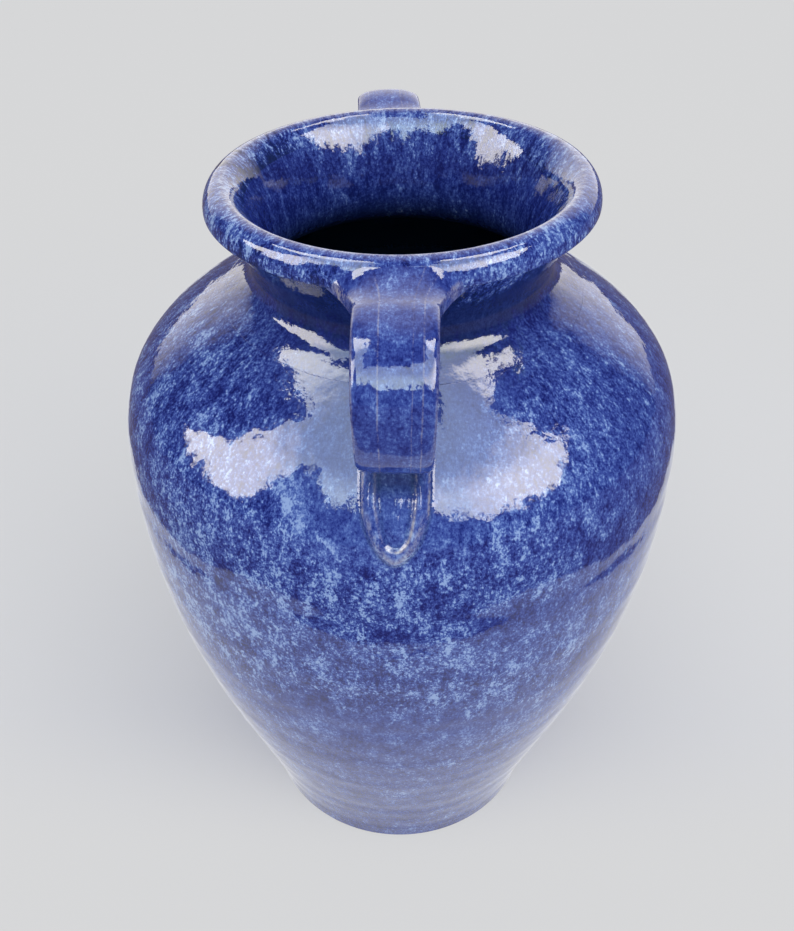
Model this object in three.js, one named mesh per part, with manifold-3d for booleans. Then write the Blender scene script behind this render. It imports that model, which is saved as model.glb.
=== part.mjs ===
// A two-handled stoneware vase, built as the potter builds it: thrown sections joined with slip,
// a rolled lip, and two strap handles pressed on at the lip and on the shoulder.
// Millimetres, +Z up, origin on the floor at the middle of the foot; the front handle faces -Y.
import * as THREE from 'three';
import { mergeVertices } from 'three/addons/utils/BufferGeometryUtils.js';
import Module from 'manifold-3d';

const wasm = await Module();
wasm.setup();

// Outer shape of the vessel
const FOOT_RADIUS = 73;
const FOOT_FLARE_RADIUS = 83.4; // the wall leaves the foot towards this radius and height
const FOOT_FLARE_HEIGHT = 55.3;
const BELLY_RADIUS = 124;
const BELLY_HEIGHT = 224.3;
const BELLY_ROUND_BELOW = 96; // length of the upright stretch that rounds the belly, below its widest
const BELLY_ROUND_ABOVE = 42; // and above it
const SHOULDER_END_RADIUS = 76.2; // where the shoulder meets the neck
const SHOULDER_RISE = 80.7; // from the belly's widest place up to there
const SHOULDER_SLOPE = 34.1; // degrees below level at the neck
const SHOULDER_REACH = 53.4; // how far the shoulder runs on at that slope before it bends down
const NECK_RADIUS = 62;
const NECK_WAIST_RISE = 16; // from the shoulder's end to the narrowest place
const NECK_FLARE_RISE = 26; // from there to the lip's underside
const NECK_ROUND_BELOW = 9;
const NECK_ROUND_ABOVE = 6;
const LIP_RADIUS = 79;
const LIP_HEIGHT = 11;
const LIP_CREST_RADIUS = 71.5;
const LIP_OVERHANG = 4.3;
const LIP_EDGE_ROUND = 1.4;
const MOUTH_RISE = 14; // the mouth's inner wall leaves the neck's waist towards this point upwards
const MOUTH_LEAN = 1; // and outwards
const MOUTH_ROUND = 6.4; // width of the roll from the inner wall over to the crest

// Walls and the joints between the clay sections
const WALL = 7;
const FLOOR = 9;
const SEAM_HEIGHT = 150; // joint of the lower and the upper thrown section
const SLIP_GAP = 0.3; // thickness left for the joining slip
const TONGUE_WIDTH = 3;
const TONGUE_HEIGHT = 2;
const COLLAR_STEP = 3; // depth of the step that seats the neck in the shoulder
const LIP_LAP = 4.5; // height of the neck's edge inside the lip
const LIP_LAP_WIDTH = 2.2; // how much of the neck's edge the lip covers from outside
const FOOT_RING_HEIGHT = 8;
const FOOT_RING_WIDTH = 10;
const FOOT_RECESS = 5;
const FOOT_EDGE_ROUND = 1;

// Handles
const HANDLE_REACH = 42.2; // strap's centreline, furthest out beyond the lip
const HANDLE_ROOT_DEPTH = 6; // strap's centreline inside the lip's rim, where it starts
const HANDLE_ROOT_RISE = 3; // and above the lip's underside
const HANDLE_DIP_OUT = 3; // the strap dips a little where it leaves the rim
const HANDLE_DIP_DROP = 0.6; // below the lip's underside
const HANDLE_SADDLE_OUT = 14; // from there it runs out level to its crown
const HANDLE_SADDLE_RISE = 0.2;
const HANDLE_CROWN_OUT = 15; // the crown rounds towards this point outwards
const HANDLE_CROWN_RISE = 1.1; // and upwards
const HANDLE_BEND_DROP = 28; // from the lip's underside down to the outermost place
const HANDLE_BEND_UP = 19;
const HANDLE_BEND_DOWN = 13.5;
const HANDLE_END_OUT = 18.3; // the strap's end, outwards from the shoulder's upper edge
const HANDLE_END_DROP = 17.2; // and downwards
const HANDLE_END_LEAN = 19.5; // the strap comes in to its end from this far out
const HANDLE_END_RISE = 14.7; // and this far up
const STRAP_THICKNESS = 10;
const STRAP_WIDTH_TOP = 29.5;
const STRAP_WIDTH_END = 24.5;
const STRAP_FLARE = 20; // extra width where the strap spreads on the lip
const STRAP_FLARE_LENGTH = 0.2; // share of the strap's length
const STRAP_SQUARENESS = 0.72; // 1 gives an oval section, less a fuller one
const REAR_HANDLE_SKEW = 4.8; // degrees by which the rear handle misses the point opposite the front one
const PAD_WIDTH = 26;
const PAD_RISE = 5.2; // above the strap's end
const PAD_LENGTH = 37;
const PAD_THICKNESS = 4.5;
const PAD_GROOVE_WIDTH = 13;
const PAD_GROOVE_DEPTH = 2;
const COIL_WIDTH = 44;
const COIL_TOP_DROP = 3; // below the lip's underside
const COIL_LENGTH = 14;
const COIL_THICKNESS = 3.5;

const ROUND_STEPS = 48;
const SHOULDER_END_HEIGHT = BELLY_HEIGHT + SHOULDER_RISE;
const NECK_HEIGHT = SHOULDER_END_HEIGHT + NECK_WAIST_RISE;
const LIP_UNDERSIDE_HEIGHT = NECK_HEIGHT + NECK_FLARE_RISE;
const HEIGHT = LIP_UNDERSIDE_HEIGHT + LIP_HEIGHT;
const NECK_TOP_RADIUS = LIP_RADIUS - LIP_OVERHANG;
const STRAP_START = {
  radius: LIP_RADIUS - HANDLE_ROOT_DEPTH,
  height: LIP_UNDERSIDE_HEIGHT + HANDLE_ROOT_RISE,
};
const STRAP_DIP = { radius: LIP_RADIUS + HANDLE_DIP_OUT, height: LIP_UNDERSIDE_HEIGHT - HANDLE_DIP_DROP };
const STRAP_SADDLE = {
  radius: LIP_RADIUS + HANDLE_SADDLE_OUT,
  height: LIP_UNDERSIDE_HEIGHT + HANDLE_SADDLE_RISE,
};
const STRAP_BEND = { radius: LIP_RADIUS + HANDLE_REACH, height: LIP_UNDERSIDE_HEIGHT - HANDLE_BEND_DROP };
const STRAP_END = {
  radius: SHOULDER_END_RADIUS + HANDLE_END_OUT,
  height: SHOULDER_END_HEIGHT - HANDLE_END_DROP,
};
const PAD_TOP_HEIGHT = STRAP_END.height + PAD_RISE;
const PAD_TIP_HEIGHT = PAD_TOP_HEIGHT - PAD_LENGTH;
const COIL_TOP_HEIGHT = LIP_UNDERSIDE_HEIGHT - COIL_TOP_DROP;
const lean = THREE.MathUtils.degToRad(SHOULDER_SLOPE);

const at = (radius, height) => new THREE.Vector2(radius, height);

// Outer line of the vessel, from the foot to the lip's underside.
function wallCurves() {
  const foot = at(FOOT_RADIUS, 0);
  const belly = at(BELLY_RADIUS, BELLY_HEIGHT);
  const shoulderEnd = at(SHOULDER_END_RADIUS, SHOULDER_END_HEIGHT);
  const slope = at(Math.cos(lean), -Math.sin(lean));
  const neck = at(NECK_RADIUS, NECK_HEIGHT);
  const neckTop = at(NECK_TOP_RADIUS, LIP_UNDERSIDE_HEIGHT);
  const lower = new THREE.CubicBezierCurve(
    foot, at(FOOT_FLARE_RADIUS, FOOT_FLARE_HEIGHT),
    at(BELLY_RADIUS, BELLY_HEIGHT - BELLY_ROUND_BELOW), belly);
  const shoulder = new THREE.CubicBezierCurve(
    belly, at(BELLY_RADIUS, BELLY_HEIGHT + BELLY_ROUND_ABOVE),
    shoulderEnd.clone().addScaledVector(slope, SHOULDER_REACH), shoulderEnd);
  const root = new THREE.CubicBezierCurve(
    shoulderEnd, shoulderEnd.clone().addScaledVector(slope, -NECK_ROUND_BELOW),
    at(NECK_RADIUS, NECK_HEIGHT - NECK_ROUND_BELOW), neck);
  const flare = new THREE.CubicBezierCurve(
    neck, at(NECK_RADIUS, NECK_HEIGHT + NECK_ROUND_ABOVE),
    at(NECK_TOP_RADIUS - NECK_ROUND_ABOVE, LIP_UNDERSIDE_HEIGHT - 2 * NECK_ROUND_ABOVE), neckTop);
  return { lower, shoulder, root, flare };
}

// The mouth's inner line, from the neck's waist up to the lip's crest.
function mouthCurve() {
  const throat = NECK_RADIUS - WALL;
  return new THREE.CubicBezierCurve(
    at(throat, NECK_HEIGHT), at(throat + MOUTH_LEAN, NECK_HEIGHT + MOUTH_RISE),
    at(LIP_CREST_RADIUS - MOUTH_ROUND, HEIGHT), at(LIP_CREST_RADIUS, HEIGHT));
}

// The line moved sideways by a distance: inwards when it is negative.
function offsetLine(line, distance) {
  return line.map((point, i) => {
    const before = line[Math.max(i - 1, 0)];
    const after = line[Math.min(i + 1, line.length - 1)];
    const along = after.clone().sub(before).normalize();
    return point.clone().add(at(along.y, -along.x).multiplyScalar(distance));
  });
}

// The part of a rising line between two heights, with its ends cut exactly there.
function between(line, low, high) {
  const cut = (height) => {
    const i = line.findIndex((p, k) => k > 0 && p.y >= height);
    const [a, b] = [line[i - 1], line[i]];
    return a.clone().lerp(b, (height - a.y) / (b.y - a.y));
  };
  const margin = 0.05;
  const inside = line.filter((p) => p.y > low + margin && p.y < high - margin);
  return [cut(low), ...inside, cut(high)];
}

const curves = wallCurves();
const outerLine = [
  ...curves.lower.getPoints(10),
  ...curves.shoulder.getPoints(9).slice(1),
  ...curves.root.getPoints(4).slice(1),
  ...curves.flare.getPoints(5).slice(1),
];
const innerLine = [
  ...offsetLine(outerLine, -WALL).filter((p) => p.y < NECK_HEIGHT - 1),
  ...mouthCurve().getPoints(8),
];

// The lip's outer face, from its underside round to the crest.
function lipLine(grow = 0) {
  const edge = new THREE.EllipseCurve(
    LIP_RADIUS - LIP_EDGE_ROUND, LIP_UNDERSIDE_HEIGHT + LIP_EDGE_ROUND,
    LIP_EDGE_ROUND + grow, LIP_EDGE_ROUND + grow, -Math.PI / 2, 0);
  const face = new THREE.EllipseCurve(
    LIP_CREST_RADIUS, LIP_UNDERSIDE_HEIGHT + LIP_EDGE_ROUND,
    LIP_RADIUS - LIP_CREST_RADIUS + grow, LIP_HEIGHT - LIP_EDGE_ROUND + grow, 0, Math.PI / 2);
  return [...edge.getPoints(2), ...face.getPoints(6).slice(1)];
}

// A solid of revolution about +Z from a closed outline of radius and height.
function turned(outline) {
  const geometry = new THREE.LatheGeometry([...outline, outline[0]], ROUND_STEPS);
  geometry.rotateX(Math.PI / 2);
  return geometry;
}

function toManifold(geometry) {
  const bare = geometry.clone();
  bare.deleteAttribute('normal');
  bare.deleteAttribute('uv');
  const merged = mergeVertices(bare, 1e-4);
  const index = merged.index.array;
  const triangles = [];
  for (let i = 0; i < index.length; i += 3) {
    const [a, b, c] = [index[i], index[i + 1], index[i + 2]];
    if (a !== b && b !== c && c !== a) triangles.push(a, b, c);
  }
  const solid = new wasm.Manifold(new wasm.Mesh({
    numProp: 3,
    vertProperties: new Float32Array(merged.attributes.position.array),
    triVerts: new Uint32Array(triangles),
  }));
  return solid;
}

function fromManifold(solid) {
  const mesh = solid.getMesh();
  const geometry = new THREE.BufferGeometry();
  geometry.setAttribute('position', new THREE.BufferAttribute(new Float32Array(mesh.vertProperties), 3));
  geometry.setIndex(new THREE.BufferAttribute(new Uint32Array(mesh.triVerts), 1));
  geometry.computeVertexNormals();
  return geometry;
}

function clay(name, geometry, color, roughness) {
  const mesh = new THREE.Mesh(geometry, new THREE.MeshStandardMaterial({ color, roughness, metalness: 0 }));
  mesh.name = name;
  return mesh;
}

const BLUE = 0x2a3a9c;
const BARE_CLAY = 0xc9b79a;
const glazed = (name, geometry) => clay(name, geometry, BLUE, 0.12);

function footRing() {
  const inside = FOOT_RADIUS - FOOT_RING_WIDTH;
  const side = between(outerLine, FOOT_EDGE_ROUND, FOOT_RING_HEIGHT);
  return turned([
    at(inside, 0), at(FOOT_RADIUS - FOOT_EDGE_ROUND, 0), ...side, at(inside, FOOT_RING_HEIGHT),
  ]);
}

function lowerBody() {
  const boss = FOOT_RADIUS - FOOT_RING_WIDTH - SLIP_GAP;
  const seat = FOOT_RING_HEIGHT + SLIP_GAP;
  const outside = between(outerLine, seat, SEAM_HEIGHT);
  const inside = between(innerLine, FOOT_RECESS + FLOOR, SEAM_HEIGHT);
  const middle = (outside.at(-1).x + inside.at(-1).x) / 2;
  return turned([
    at(0, FOOT_RECESS), at(boss, FOOT_RECESS), at(boss, seat), ...outside,
    at(middle + TONGUE_WIDTH / 2, SEAM_HEIGHT),
    at(middle, SEAM_HEIGHT + TONGUE_HEIGHT),
    at(middle - TONGUE_WIDTH / 2, SEAM_HEIGHT),
    ...inside.reverse(), at(0, FOOT_RECESS + FLOOR),
  ]);
}

// Radius of the step between the shoulder's outer and inner landing, under the neck.
function collarStepRadius() {
  return SHOULDER_END_RADIUS - WALL;
}

function upperBody() {
  const seam = SEAM_HEIGHT + SLIP_GAP;
  const outside = between(outerLine, seam, SHOULDER_END_HEIGHT);
  const inside = between(innerLine, seam, SHOULDER_END_HEIGHT - COLLAR_STEP);
  const middle = (outside[0].x + inside[0].x) / 2;
  const half = TONGUE_WIDTH / 2 + SLIP_GAP;
  return turned([
    at(middle + half, seam), ...outside,
    at(collarStepRadius(), SHOULDER_END_HEIGHT),
    at(collarStepRadius(), SHOULDER_END_HEIGHT - COLLAR_STEP),
    ...inside.reverse(),
    at(middle - half, seam), at(middle, seam + TONGUE_HEIGHT + SLIP_GAP),
  ]);
}

function neckCollar() {
  const seat = SHOULDER_END_HEIGHT + SLIP_GAP;
  const top = LIP_UNDERSIDE_HEIGHT + LIP_LAP;
  const outside = between(outerLine, seat, LIP_UNDERSIDE_HEIGHT - SLIP_GAP);
  const inside = between(innerLine, seat - COLLAR_STEP, top);
  const lap = NECK_TOP_RADIUS - LIP_LAP_WIDTH;
  return turned([
    ...outside, at(lap, LIP_UNDERSIDE_HEIGHT - SLIP_GAP), at(lap, top), ...inside.reverse(),
    at(collarStepRadius() - SLIP_GAP, seat - COLLAR_STEP), at(collarStepRadius() - SLIP_GAP, seat),
  ]);
}

function rimLip() {
  const lap = NECK_TOP_RADIUS - LIP_LAP_WIDTH + SLIP_GAP;
  const top = LIP_UNDERSIDE_HEIGHT + LIP_LAP + SLIP_GAP;
  const inside = between(innerLine, top, HEIGHT - LIP_EDGE_ROUND);
  return turned([
    at(lap, LIP_UNDERSIDE_HEIGHT), ...lipLine(), ...inside.reverse(), at(lap, top),
  ]);
}

// The whole vessel as one plug grown by a distance, used to trim what is pressed on to it.
function vesselPlug(grow) {
  const grown = offsetLine(outerLine, grow).filter((p) => p.y > 1 && p.y < LIP_UNDERSIDE_HEIGHT - grow);
  return toManifold(turned([
    at(0, 1), ...grown, at(NECK_TOP_RADIUS, LIP_UNDERSIDE_HEIGHT - grow), ...lipLine(grow),
    at(0, HEIGHT + grow),
  ]));
}

function strapPath() {
  const onFront = ({ radius, height }, out = 0, up = 0) => new THREE.Vector3(0, -radius - out, height + up);
  const root = new THREE.QuadraticBezierCurve3(
    onFront(STRAP_START), onFront(STRAP_DIP), onFront(STRAP_SADDLE));
  const over = new THREE.CubicBezierCurve3(
    onFront(STRAP_SADDLE), onFront(STRAP_SADDLE, HANDLE_CROWN_OUT, HANDLE_CROWN_RISE),
    onFront(STRAP_BEND, 0, HANDLE_BEND_UP), onFront(STRAP_BEND));
  const down = new THREE.CubicBezierCurve3(
    onFront(STRAP_BEND), onFront(STRAP_BEND, 0, -HANDLE_BEND_DOWN),
    onFront(STRAP_END, HANDLE_END_LEAN, HANDLE_END_RISE), onFront(STRAP_END));
  const path = new THREE.CurvePath();
  path.add(root);
  path.add(over);
  path.add(down);
  return path;
}

// A round bar bent along the strap's path and pressed to the strap's section.
function strap(grow = 0) {
  const path = strapPath();
  const bar = new THREE.CylinderGeometry(1, 1, 1, 14, 24);
  const position = bar.attributes.position;
  const across = new THREE.Vector3(1, 0, 0);
  const full = (value) => Math.sign(value) * Math.abs(value) ** STRAP_SQUARENESS;
  for (let i = 0; i < position.count; i += 1) {
    const share = 0.5 - position.getY(i);
    const [x, z] = [position.getX(i), position.getZ(i)];
    const centre = path.getPointAt(share);
    const along = path.getTangentAt(share);
    const outward = new THREE.Vector3().crossVectors(along, across).normalize();
    const spread = Math.max(0, 1 - share / STRAP_FLARE_LENGTH) ** 2 * STRAP_FLARE;
    const width = THREE.MathUtils.lerp(STRAP_WIDTH_TOP, STRAP_WIDTH_END, share ** 2) + spread + 2 * grow;
    const thickness = STRAP_THICKNESS + 2 * grow;
    const reach = Math.hypot(x, z) < 1e-6 ? 0 : 1;
    centre.addScaledVector(across, reach * full(x) * width / 2);
    centre.addScaledVector(outward, reach * full(z) * thickness / 2);
    position.setXYZ(i, centre.x, centre.y, centre.z);
  }
  return toManifold(bar);
}

// A flat outline, seen from the front, pushed back through the wall as a cutter.
function frontPrism(shape, depth) {
  const geometry = new THREE.ExtrudeGeometry(shape, { depth, bevelEnabled: false, curveSegments: 7 });
  geometry.rotateX(Math.PI / 2);
  return toManifold(geometry);
}

// The pressed end below the strap: straight sides and a round tip.
function padOutline(width, top, tip) {
  const half = width / 2;
  const shape = new THREE.Shape();
  shape.moveTo(-half, top);
  shape.lineTo(-half, tip + half);
  shape.absarc(0, tip + half, half, Math.PI, 2 * Math.PI, false);
  shape.lineTo(half, top);
  shape.closePath();
  return shape;
}

function coilOutline() {
  const half = COIL_WIDTH / 2;
  const shape = new THREE.Shape();
  shape.moveTo(-half, COIL_TOP_HEIGHT);
  shape.quadraticCurveTo(-half, COIL_TOP_HEIGHT - COIL_LENGTH, 0, COIL_TOP_HEIGHT - COIL_LENGTH);
  shape.quadraticCurveTo(half, COIL_TOP_HEIGHT - COIL_LENGTH, half, COIL_TOP_HEIGHT);
  shape.closePath();
  return shape;
}

function handleSolids() {
  const seatPlug = vesselPlug(SLIP_GAP);
  const padSkin = vesselPlug(PAD_THICKNESS);
  const padFloor = vesselPlug(PAD_THICKNESS - PAD_GROOVE_DEPTH);
  const coilSkin = vesselPlug(COIL_THICKNESS);
  const depth = BELLY_RADIUS + PAD_THICKNESS;
  const padPrism = frontPrism(padOutline(PAD_WIDTH, PAD_TOP_HEIGHT, PAD_TIP_HEIGHT), depth);
  const groove = frontPrism(
    padOutline(PAD_GROOVE_WIDTH, PAD_TOP_HEIGHT, PAD_TIP_HEIGHT + (PAD_WIDTH - PAD_GROOVE_WIDTH) / 2), depth);
  const pad = padPrism.intersect(padSkin).subtract(seatPlug).subtract(groove.subtract(padFloor));
  const padRoom = frontPrism(
    padOutline(PAD_WIDTH + 2 * SLIP_GAP, PAD_TOP_HEIGHT + SLIP_GAP, PAD_TIP_HEIGHT - SLIP_GAP), depth)
    .intersect(vesselPlug(PAD_THICKNESS + SLIP_GAP));
  const bar = strap().subtract(seatPlug).subtract(padRoom);
  const coil = frontPrism(coilOutline(), depth).intersect(coilSkin).subtract(seatPlug).subtract(strap(SLIP_GAP));
  return { strap: bar, pad, coil };
}

const vase = new THREE.Group();
vase.add(clay('foot_ring', footRing(), BARE_CLAY, 0.8));
vase.add(glazed('lower_body', lowerBody()));
vase.add(glazed('upper_body', upperBody()));
vase.add(glazed('neck_collar', neckCollar()));
vase.add(glazed('rim_lip', rimLip()));

const solids = handleSolids();
for (const [side, turn] of [['front', 0], ['rear', 180 + REAR_HANDLE_SKEW]]) {
  const handle = new THREE.Group();
  handle.rotation.z = THREE.MathUtils.degToRad(turn);
  handle.add(glazed(`${side}_handle_strap`, fromManifold(solids.strap)));
  handle.add(glazed(`${side}_handle_pad`, fromManifold(solids.pad)));
  handle.add(glazed(`${side}_luting_coil`, fromManifold(solids.coil)));
  vase.add(handle);
}

export default vase;
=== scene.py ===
import bpy
import math
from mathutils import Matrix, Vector


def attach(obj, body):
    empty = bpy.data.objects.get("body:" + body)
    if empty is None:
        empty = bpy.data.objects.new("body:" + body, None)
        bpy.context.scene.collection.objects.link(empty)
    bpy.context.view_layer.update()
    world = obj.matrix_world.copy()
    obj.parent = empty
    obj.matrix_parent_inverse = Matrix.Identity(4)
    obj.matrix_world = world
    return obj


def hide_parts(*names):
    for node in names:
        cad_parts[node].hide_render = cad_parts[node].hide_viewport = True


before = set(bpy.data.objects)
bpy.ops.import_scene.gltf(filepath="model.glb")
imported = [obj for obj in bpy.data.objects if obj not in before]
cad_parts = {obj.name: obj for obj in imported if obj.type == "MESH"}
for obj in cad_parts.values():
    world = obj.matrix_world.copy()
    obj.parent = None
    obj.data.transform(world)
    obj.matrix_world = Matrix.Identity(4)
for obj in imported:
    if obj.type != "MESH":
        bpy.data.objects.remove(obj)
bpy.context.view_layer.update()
print("frame loaded")


# small helpers
def clearSelection():
    if bpy.context.object and bpy.context.object.mode != "OBJECT":
        bpy.ops.object.mode_set(mode="OBJECT")
    bpy.ops.object.select_all(action="DESELECT")


def pick(piece):
    clearSelection()
    piece.select_set(True)
    bpy.context.view_layer.objects.active = piece


def editMode(selectType="VERT"):
    bpy.ops.object.mode_set(mode="EDIT")
    bpy.ops.mesh.select_mode(type=selectType)
    bpy.ops.mesh.select_all(action="DESELECT")


def objectMode():
    bpy.ops.object.mode_set(mode="OBJECT")


def named(name):
    piece = bpy.context.object
    piece.name = name
    piece.data.name = name
    return piece


def copyOf(piece, name):
    pick(piece)
    bpy.ops.object.duplicate()
    return named(name)


def mark(piece, label, values):
    piece.data.attributes.new(label, "FLOAT", "POINT").data.foreach_set("value", values)


def applyModifiers(piece):
    pick(piece)
    for modifier in list(piece.modifiers):
        bpy.ops.object.modifier_apply(modifier=modifier.name)


def smooth(piece, angle=38):
    pick(piece)
    bpy.ops.object.shade_smooth_by_angle(angle=math.radians(angle))


def outwards(piece):
    pick(piece)
    editMode()
    bpy.ops.mesh.select_all(action="SELECT")
    bpy.ops.mesh.remove_doubles(threshold=0.00002)
    bpy.ops.mesh.normals_make_consistent(inside=False)
    objectMode()


# points crowd towards both ends, so the shading runs on smoothly where two pieces meet
def bezier(a, b, c, d, steps):
    points = []
    for i in range(steps + 1):
        t = i / steps
        t -= 0.14 * math.sin(2 * math.pi * t)
        s = 1 - t
        points.append(tuple(s * s * s * p + 3 * s * s * t * q + 3 * s * t * t * r + t * t * t * w
                            for p, q, r, w in zip(a, b, c, d)))
    return points


# the thrown vessel: radii and heights in millimetres
vessel = {
    "height": 358.0,
    "foot": (73.0, 0.0),
    "footFlare": (83.4, 55.3),
    "belly": (124.0, 224.3),
    "bellyRoundBelow": 95.7,
    "bellyRoundAbove": 42.0,
    "shoulderEnd": (76.2, 305.0),
    "shoulderSlope": 34.1,
    "shoulderReach": 53.4,
    "neck": (62.0, 321.0),
    "neckRoundBelow": 9.0,
    "neckRoundAbove": 6.0,
    "neckTop": (74.7, 347.0),
    "lipRadius": 79.0,
    "lipEdgeRound": 1.6,
    "lipCrest": 71.4,
    "mouthRise": 14.0,
    "mouthLean": 1.0,
    "mouthRound": 6.4,
    "wall": 7.0,
    "floor": 9.0,
    "footRecess": 5.0,
    "footRingHeight": 8.0,
    "footRingWidth": 10.0,
    "bodySeam": 150.0,
    "lipSeam": 345.2,
    "steps": 216,
    "throwingRings": 0.13,
    "ringsFadeFrom": 345.0,
    "ringsFade": 30.0,
}


def outerWall():
    v = vessel
    lean = math.radians(v["shoulderSlope"])
    slope = (math.cos(lean), -math.sin(lean))
    end = v["shoulderEnd"]
    lower = bezier(v["foot"], v["footFlare"], (v["belly"][0], v["belly"][1] - v["bellyRoundBelow"]),
                   v["belly"], 100)
    shoulder = bezier(v["belly"], (v["belly"][0], v["belly"][1] + v["bellyRoundAbove"]),
                      (end[0] + slope[0] * v["shoulderReach"], end[1] + slope[1] * v["shoulderReach"]),
                      end, 66)
    root = bezier(end, (end[0] - slope[0] * v["neckRoundBelow"], end[1] - slope[1] * v["neckRoundBelow"]),
                  (v["neck"][0], v["neck"][1] - v["neckRoundBelow"]), v["neck"], 26)
    flare = bezier(v["neck"], (v["neck"][0], v["neck"][1] + v["neckRoundAbove"]),
                   (v["neckTop"][0] - v["neckRoundAbove"], v["neckTop"][1] - 2 * v["neckRoundAbove"]),
                   v["neckTop"], 26)
    return lower + shoulder[1:] + root[1:] + flare[1:]


def inwards(line, distance):
    moved = []
    for i, (r, z) in enumerate(line):
        before = line[max(i - 1, 0)]
        after = line[min(i + 1, len(line) - 1)]
        along = Vector((after[0] - before[0], after[1] - before[1])).normalized()
        moved.append((r - along.y * distance, z + along.x * distance))
    return moved


def lipLine():
    v = vessel
    low = v["neckTop"][1]
    edge = v["lipEdgeRound"]
    line = [(v["neckTop"][0] + 1.2, low)]
    for i in range(7):
        a = -math.pi / 2 + i * math.pi / 12
        line.append((v["lipRadius"] - edge + edge * math.cos(a), low + edge + edge * math.sin(a)))
    for i in range(1, 15):
        a = i * math.pi / 28
        line.append((v["lipCrest"] + (v["lipRadius"] - v["lipCrest"]) * math.cos(a),
                     low + edge + (v["height"] - low - edge) * math.sin(a)))
    return line


def vesselLine():
    v = vessel
    outer = outerWall()
    ringTop = v["footRingHeight"] + 0.1
    ringInside = v["foot"][0] - v["footRingWidth"]
    rings = v["throwingRings"]
    wall = [p for p in outer if p[1] > ringTop + 0.3]
    wall = [(r + rings * math.sin(z / 3.1) * math.sin(z / 11.7 + 1.0)
             * min(1, (v["ringsFadeFrom"] - z) / v["ringsFade"]), z) for r, z in wall]
    throat = (v["neck"][0] - v["wall"], v["neck"][1])
    inner = [p for p in inwards(outer, v["wall"])
             if v["footRecess"] + v["floor"] + 6 < p[1] < throat[1] - 0.5]
    crest = (v["lipCrest"], v["height"])
    mouth = bezier(crest, (crest[0] - v["mouthRound"], crest[1]),
                   (throat[0] + v["mouthLean"], throat[1] + v["mouthRise"]), throat, 30)
    floorLevel = v["footRecess"] + v["floor"]
    corner = bezier(inner[0], (inner[0][0] - 1.0, floorLevel + 1), (inner[0][0] - 3, floorLevel),
                    (inner[0][0] - 9, floorLevel), 8)
    base = [(0.0, v["footRecess"]), (ringInside * 0.5, v["footRecess"]),
            (ringInside - 0.1, v["footRecess"]), (ringInside - 0.1, ringTop)]
    startOuter = [p for p in outer if p[1] <= ringTop][-1]
    base.append((startOuter[0], ringTop))
    return (base + wall + lipLine() + mouth[1:] + list(reversed(inner)) + corner[1:]
            + [(inner[0][0] * 0.5, floorLevel), (0.0, floorLevel)])


# draws a line of edges with the extrude tool and turns it once round the axis
def turnedPiece(name, line, steps, closed=False):
    clearSelection()
    r, z = line[0]
    bpy.ops.mesh.primitive_plane_add(size=0.001, location=(0, 0, 0))
    piece = named(name)
    editMode()
    bpy.ops.mesh.select_all(action="SELECT")
    bpy.ops.mesh.merge(type="CENTER")
    bpy.ops.transform.translate(value=(r / 1000, 0, z / 1000))
    for (r0, z0), (r1, z1) in zip(line, line[1:]):
        bpy.ops.mesh.extrude_region_move(
            TRANSFORM_OT_translate={"value": ((r1 - r0) / 1000, 0, (z1 - z0) / 1000)})
    bpy.ops.mesh.select_all(action="SELECT")
    if closed:
        bpy.ops.mesh.remove_doubles(threshold=0.00001)
        bpy.ops.mesh.select_all(action="SELECT")
    bpy.ops.mesh.spin(steps=steps, angle=2 * math.pi, center=(0, 0, 0), axis=(0, 0, 1))
    objectMode()
    outwards(piece)
    return piece


# hand-made unevenness in metres, the same for every piece: the lip dips at the back and rises to the right
uneven = {
    "rightRise": 0.018,
    "rearDip": 0.0034,
    "footShift": -0.0013,
    "from": 0.285,
    "crestDrop": 0.0016,
    "dipEnd": 0.104,
    "dipFade": 0.02,
    "dipAbove": 0.3,
    "mouthWidth": 0.158,
    "footReach": 0.2,
}


def throwUneven(piece):
    u = uneven
    top = vessel["height"] / 1000
    for vertex in piece.data.vertices:
        x, y, z = vertex.co
        up = min(max((z - u["from"]) / (top - u["from"]), 0), 1)
        up = up * up * (3 - 2 * up)
        up *= min(max((u["dipEnd"] - math.hypot(x, y)) / u["dipFade"], 0), 1)
        back = min(max(0.5 + y / u["mouthWidth"], 0), 1) ** 2 if z > u["dipAbove"] else 0
        low = min(max((u["footReach"] - z) / u["footReach"], 0), 1)
        vertex.co.z += up * (u["rightRise"] * x - u["rearDip"] * back - u["crestDrop"])
        vertex.co.x += u["footShift"] * low * low * (3 - 2 * low)
    piece.data.update()


def section(source, name, low, high):
    piece = copyOf(source, name)
    for level, outer in ((low, False), (high, True)):
        if level is None:
            continue
        editMode()
        bpy.ops.mesh.select_all(action="SELECT")
        bpy.ops.mesh.bisect(plane_co=(0, 0, level), plane_no=(0, 0, 1),
                            clear_inner=not outer, clear_outer=outer)
        bpy.ops.mesh.select_all(action="DESELECT")
        bpy.ops.mesh.select_mode(type="EDGE")
        bpy.ops.mesh.select_non_manifold(extend=False, use_wire=False, use_boundary=True,
                                         use_multi_face=False, use_non_contiguous=False, use_verts=False)
        bpy.ops.mesh.bridge_edge_loops()
        objectMode()
    outwards(piece)
    return piece


mm = 0.001
whole = turnedPiece("wholeVessel", vesselLine(), vessel["steps"])
throwUneven(whole)
lowerBody = section(whole, "lowerBody", None, vessel["bodySeam"] * mm)
upperBody = section(whole, "upperBody", vessel["bodySeam"] * mm, vessel["shoulderEnd"][1] * mm)
neckCollar = section(whole, "neckCollar", vessel["shoulderEnd"][1] * mm, vessel["lipSeam"] * mm)
rimLip = section(whole, "rimLip", vessel["lipSeam"] * mm, None)
pick(whole)
bpy.ops.object.delete()
print("vessel thrown and cut into its sections")

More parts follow.
